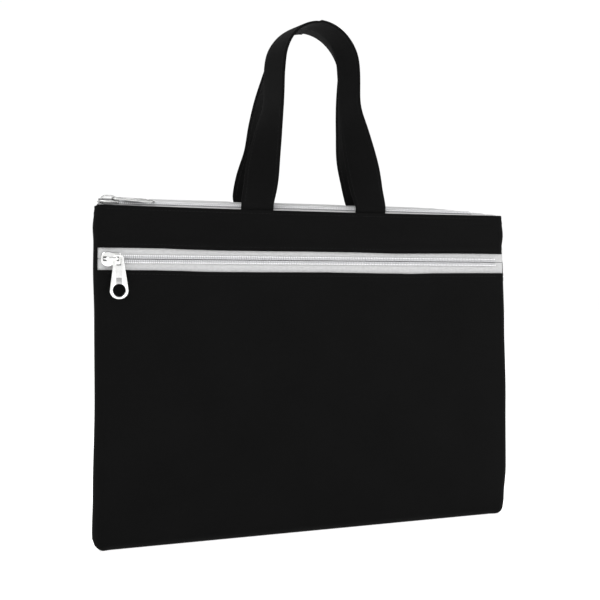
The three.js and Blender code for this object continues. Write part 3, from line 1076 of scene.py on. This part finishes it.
def pull_tab(name, node, body, window, place, metal):
    """A pull whose window starts window mm from the hinge, with a round hole near its end."""
    end = window + pull_length - 2.2
    start = window - 1.9
    tip = end - 7.1
    upper = [
        ((start, -3), (start + 1.2, -4.1), (start + 4, -4.3)),
        ((start + 12, -5), (tip - 9, -6.6), (tip, -7.6)),
        ((tip + 3.8, -7.7), (end, -4.6), (end, 0)),
    ]
    lower = [
        ((end, 4.6), (tip + 3.8, 7.7), (tip, 7.6)),
        ((tip - 9, 6.6), (start + 12, 5), (start + 4, 4.3)),
        ((start + 1.2, 4.1), (start, 3), (start, 0)),
    ]
    outside = bezier_outline((start, 0), upper + lower, 16)
    slot = rounded_box(window + window_long / 2, window_long / 2, window_wide / 2, 0.7)
    hole = []
    for k in range(48):
        angle = 2 * math.pi * k / 48
        hole.append((tip - 0.1 + pull_hole * math.cos(angle), pull_hole * math.sin(angle)))
    tab = plate([outside, slot, hole], 0, pull_thick, 0.42)
    piece = finish_mesh(name, tab, metal, body, place, 40)
    dent_middle = tip - pull_hole - 2.6
    dent_pull(piece, place, rounded_box(dent_middle, 2.85, 2.55, 0.4))
    # A thin floor in the dent in darker metal: painted shade of the recess
    rim = rounded_box(dent_middle, 2.6, 2.3, 0.4)
    level = pull_thick - 0.32
    floor = plate([rim], level - 0.2, level, 0.04)
    finish_mesh(name + "_recess", floor, shaded_metal, body, place)
    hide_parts(node)


def rounded_box(x, long, wide, radius):
    """A rounded box about (x, 0). long and wide are half sides."""
    points = []
    for sx, sy, turn in ((1, 1, 0), (-1, 1, 90), (-1, -1, 180), (1, -1, 270)):
        for k in range(5):
            angle = math.radians(turn + 22.5 * k)
            px = x + sx * (long - radius) + radius * math.cos(angle)
            points.append((px, sy * (wide - radius) + radius * math.sin(angle)))
    return points


def dent_pull(piece, place, outline):
    """Cuts the shallow square recess between the window and the hole."""
    verts, faces = plate([outline], pull_thick - 0.4, pull_thick + 1, 0.1)
    cutter = new_object("cutter", bpy.data.meshes.new("cutter"))
    cutter.data.from_pydata([(place @ v) * MM for v in verts], [], faces)
    modifier = piece.modifiers.new("dent", "BOOLEAN")
    modifier.object = cutter
    modifier.operation = "DIFFERENCE"
    mesh = evaluated_mesh(piece)
    piece.modifiers.clear()
    if len(mesh.polygons) > len(piece.data.polygons) // 2:
        mesh.set_sharp_from_angle(angle=math.radians(40))
        piece.data = mesh
    bpy.data.objects.remove(cutter)


def make_tapes():
    pocket_tape("pocket_zip_lower_tape_cloth", "pocket_zip_lower_tape", -tape_reach, -groove, 1.3)
    pocket_tape("pocket_zip_upper_tape_cloth", "pocket_zip_upper_tape", groove, tape_reach, 2.9)
    columns = spread(-top_tape_half, top_tape_half, 3.0, 1.5, 12)

    def front_edges(x):
        return top_tape_front, min(-groove, wall_reach(x) - 0.3)

    def back_edges(x):
        return groove, max(groove + 0.4, wall_reach(x))

    top_tape("top_zip_front_tape_cloth", "top_zip_front_tape", front_edges, columns, 3.7)
    inside = [x for x in columns if x < back_tape_end]
    top_tape("top_zip_back_tape_cloth", "top_zip_back_tape", back_edges, inside, 5.2)


def make_coils():
    rows = [
        ("pocket_zip_upper", pocket_coil, 1, 0.0, pocket_frame),
        ("pocket_zip_lower", pocket_coil, -1, tooth_pitch / 2, pocket_frame),
        ("top_zip_back", top_coil, 1, 0.0, top_frame),
        ("top_zip_front", top_coil, -1, tooth_pitch / 2, top_frame),
    ]
    for label, ends, side, shift, place in rows:
        coil_row(label + "_teeth", label + "_coil", ends, side, shift, place)


def make_sliders():
    at_slider = Matrix.Translation((slider_x, 0, 0))
    # The top slider takes the darker copy of the nickel: painted shade
    for label, place, metal in (("pocket", pocket_frame, nickel), ("top", top_frame, nickel_painted_darker)):
        node = f"{label}_zip_slider"
        spot = place @ at_slider
        slider_body(node + "_casting", node + "_body", f"{label}_slider", spot, metal)
        slider_crown(node + "_bridge", node + "_crown", f"{label}_slider", spot, metal)


def make_pulls():
    hang = Matrix.Translation((slider_x + hanging_pull_x, 3.6, plate_high + 0.3))
    hang = hang @ Matrix.Rotation(math.radians(-89), 4, "Z")
    hang = pocket_frame @ hang
    pull_tab("pocket_zip_pull_tab", "pocket_zip_pull", "pocket_pull", 1.8, hang, nickel)
    lie = Matrix.Translation((slider_x + lying_pull_x, 0, plate_high + 0.25))
    lie = lie @ Matrix.Rotation(pull_droop, 4, "Y") @ Matrix.Rotation(pull_roll, 4, "X")
    lie = top_frame @ lie
    # The top pull takes the darker copy of the nickel: painted shade
    pull_tab("top_zip_pull_tab", "top_zip_pull", "top_pull", 0.9, lie, nickel_painted_darker)


# ---- Handles ----
# legs are (distance from the middle, height), turns are (height, share of a quarter turn)
front_loop = {
    "side": -1,
    "base": 280.6,
    "hinge_z": 279.5,
    "legs": [(leg_x, 0), (53.3, 6), (50.2, 20), (46.4, 42), (41.2, 66), (36, 90)],
    "turns": [(0, 0), (12, 0), (44, 0.45), (88, 0.85), (128, 0.82), (strap_rise, 0.98)],
    "apex_y": 27.6,
    "bow": -4.5,
    "lean": -9.0,
    "sewn_in": 1.15,
    "seed": 3.3,
}
back_loop = {
    "side": 1,
    "base": 287.3,
    "hinge_z": 286.2,
    "legs": [(leg_x, 0), (53.3, 6), (50.2, 20), (44.3, 42), (41.9, 66), (39, 90)],
    "turns": [(0, 0), (12, 0), (44, 0.27), (88, 0.49), (128, 0.77), (strap_rise, 0.98)],
    "apex_y": 14.7,
    "bow": 9.3,
    "lean": 3.2,
    "sewn_in": 1.7,
    "seed": 6.6,
}


def leg_path(loop):
    """The loop's centre line as points (x, z), from the sewn left end to the right end."""
    base = loop["base"]
    leg = [(leg_x, base - strap_sunk)] + [(x, base + height) for x, height in loop["legs"]]
    for degrees in (0, 22.5, 45, 67.5):
        angle = math.radians(degrees)
        rise = arch_centre + (strap_rise - arch_centre) * math.sin(angle)
        leg.append((arch_half * math.cos(angle), base + rise))
    left = [Vector((-x, 0, z)) for x, z in leg]
    right = [Vector((x, 0, z)) for x, z in reversed(leg)]
    return left + [Vector((0, 0, base + strap_rise))] + right


def smooth_line(points, step):
    """A smooth curve through the points, sampled about every step mm."""
    line = []
    for k in range(len(points) - 1):
        before = points[max(k - 1, 0)]
        a, b = points[k], points[k + 1]
        after = points[min(k + 2, len(points) - 1)]
        length = (b - a).length
        into = (b - before) * (length / max(1e-6, (b - before).length))
        out = (after - a) * (length / max(1e-6, (after - a).length))
        count = max(1, round(length / step))
        for i in range(count):
            t = i / count
            h1 = 2 * t**3 - 3 * t**2 + 1
            h2 = t**3 - 2 * t**2 + t
            h3 = 3 * t**2 - 2 * t**3
            h4 = t**3 - t**2
            line.append(a * h1 + into * h2 + b * h3 + out * h4)
    line.append(points[-1])
    return line


def strap_twist(loop, height):
    """How far the strap is turned from flat, in radians, at a height above its foot."""
    turns = loop["turns"]
    if height <= 0:
        return 0.0
    for (low, first), (high, second) in zip(turns, turns[1:]):
        if height <= high:
            return math.radians(90) * mix(first, second, (height - low) / (high - low))
    return math.radians(90) * turns[-1][1]


def strap_frames(loop):
    """(centre, across, out, thickness) along the strap."""
    side, base = loop["side"], loop["base"]
    line = smooth_line(leg_path(loop), 1.8)
    frames = []
    last = len(line) - 1
    twists = [strap_twist(loop, p.z - base) for p in line]
    soft = []
    for k in range(len(line)):
        span = twists[max(0, k - 5) : k + 6]
        soft.append(sum(span) / len(span))
    for k, point in enumerate(line):
        along = (line[min(k + 1, last)] - line[max(k - 1, 0)]).normalized()
        half = 1 if k < len(line) / 2 else -1
        inward = Vector((along.z, 0, -along.x)) * half
        twist = soft[k] if point.z > base else 0.0
        across = inward * math.cos(twist) + Vector((0, side * math.sin(twist), 0))
        out = across.cross(along).normalized()
        height = max(0.0, point.z - base)
        shift = smooth(0, strap_rise, height)
        bow = loop["bow"] * math.sin(math.pi * min(1.0, height / strap_rise))
        y = mix(strap_base_y, loop["apex_y"], shift) + bow
        sewn = 1 - smooth(-1.5, 3.5, point.z - base)
        y = mix(y, strap_base_y - loop["sewn_in"], sewn)
        centre = Vector((point.x + loop["lean"] * shift, side * y, point.z))
        centre += out * 0.4 * ripple(height, 0, 40, loop["seed"]) * smooth(4, 30, height)
        thickness = mix(strap_thick, 0.8, sewn)
        frames.append((centre, across, out, thickness))
    return frames


def strap_section():
    """Points round the folded strap's section, as (share of width, share of thickness)."""
    steps = 15
    top, rim = [], []
    for k in range(steps + 1):
        across = -1 + 2 * k / steps
        edge = (1 - abs(across)) * strap_width / 2
        seam = 0.22 * math.exp(-(((edge - strap_seam) / 0.6) ** 2))
        puff = 0.06 * smooth(3.5, 6, edge)
        if 0 < k < steps:
            top.append((across * 0.975, 1 - seam + puff))
    for degrees in (60, 30, 0, -30, -60):
        angle = math.radians(degrees)
        rim.append((0.965 + 0.035 * math.cos(angle), math.sin(angle)))
    bottom = [(-a, -b) for a, b in top]
    left = [(-a, -b) for a, b in rim]
    return top + rim + bottom + left


def handle(node, loop):
    """A strap loop that blends from the case to its own body over its first few millimetres."""
    frames = strap_frames(loop)
    section = strap_section()
    verts, uvs = [], []
    travelled = 0.0
    for k, (centre, across, out, thickness) in enumerate(frames):
        if k:
            travelled += (centre - frames[k - 1][0]).length
        for share, lift in section:
            offset = across * share * strap_width / 2 + out * lift * thickness / 2
            verts.append(centre + offset)
            uvs.append((travelled, share * strap_width / 2))
    faces = tube_faces(len(frames), len(section))
    strap = node + "_strap"
    piece = finish_mesh(strap, (verts, faces, uvs), strap_cloth, None)
    turn_faces_out(piece)
    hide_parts(node)
    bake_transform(piece)
    parts = Parts()
    for edge in (-1, 1):
        for face in (-1, 1):
            points, normals = [], []
            for centre, across, out, thickness in frames[4:-4]:
                reach = across * edge * (strap_width / 2 - strap_seam)
                points.append(centre + reach + out * face * (thickness / 2 * 0.82 + 0.08))
                normals.append(out * face)
            stitch_run(parts, points, normals)
    stitches = strap + "_stitches"
    sewing = finish_mesh(stitches, parts.shape(), black_thread, None)
    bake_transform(sewing)


def keep_hidden_parts():
    """The sewn-in strap ends and the seam bindings stay as they are, in cloth."""
    cloths = {f"{side}_seam_binding": lining_cloth for side in ("left", "right", "bottom")}
    for strap in ("front_handle", "back_handle"):
        for side in ("left", "right"):
            cloths[f"{strap}_{side}_end"] = strap_cloth
    for node, material in cloths.items():
        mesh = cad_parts[node].data
        mesh.materials.clear()
        mesh.materials.append(material)


front_pocket_panel()
front_top_band()
back_panel()
divider_panel()
panel_stitches()
make_tapes()
make_coils()
make_sliders()
make_pulls()
handle("front_handle", front_loop)
handle("back_handle", back_loop)
keep_hidden_parts()
